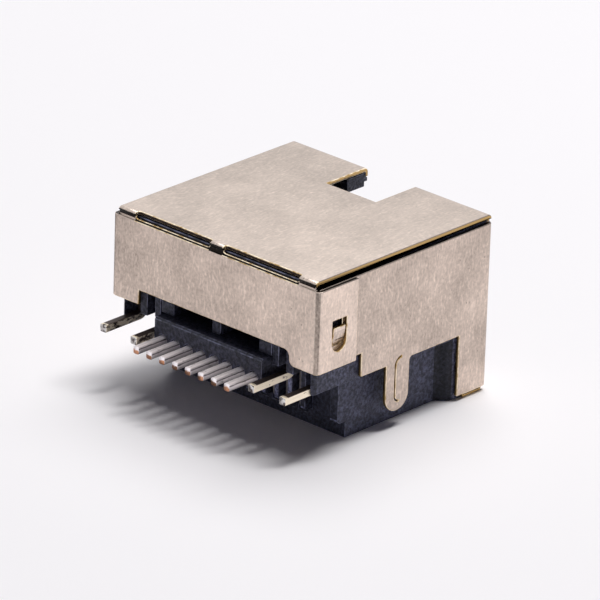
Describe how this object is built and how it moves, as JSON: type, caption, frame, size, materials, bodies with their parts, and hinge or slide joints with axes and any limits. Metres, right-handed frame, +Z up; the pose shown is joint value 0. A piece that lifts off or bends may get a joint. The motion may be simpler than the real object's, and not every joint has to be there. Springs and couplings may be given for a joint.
{
  "type": "shielded ethernet jack",
  "caption": "Shielded right-angle modular jack that sinks into a cut-out of a circuit board, with surface-mount tails, lamps and a folded metal shield",
  "frame": {"origin": "middle of the part's outline, at the height of the moulded body's underside", "axes": "+Z up out of the board, -Y towards the plug opening, +Y along the solder tails, X across"},
  "size_m": [0.0162, 0.0176, 0.011],
  "materials": {
    "shield_sheet": "satin",
    "black_moulding": "matt",
    "tinned_contact": "bright",
    "lamp_body": "clear",
    "lamp_lead": "plated"
  },
  "bodies": {
    "root": {"shield": "shield_sheet", "housing": "black_moulding", "contact_carrier": "black_moulding", "contact_1": "tinned_contact", "contact_2": "tinned_contact", "contact_3": "tinned_contact", "contact_4": "tinned_contact", "contact_5": "tinned_contact", "contact_6": "tinned_contact", "contact_7": "tinned_contact", "contact_8": "tinned_contact", "led_left": "lamp_body", "led_right": "lamp_body", "led_left_lead_inner": "lamp_lead", "led_left_lead_outer": "lamp_lead", "led_right_lead_inner": "lamp_lead", "led_right_lead_outer": "lamp_lead"}
  },
  "joints": []
}
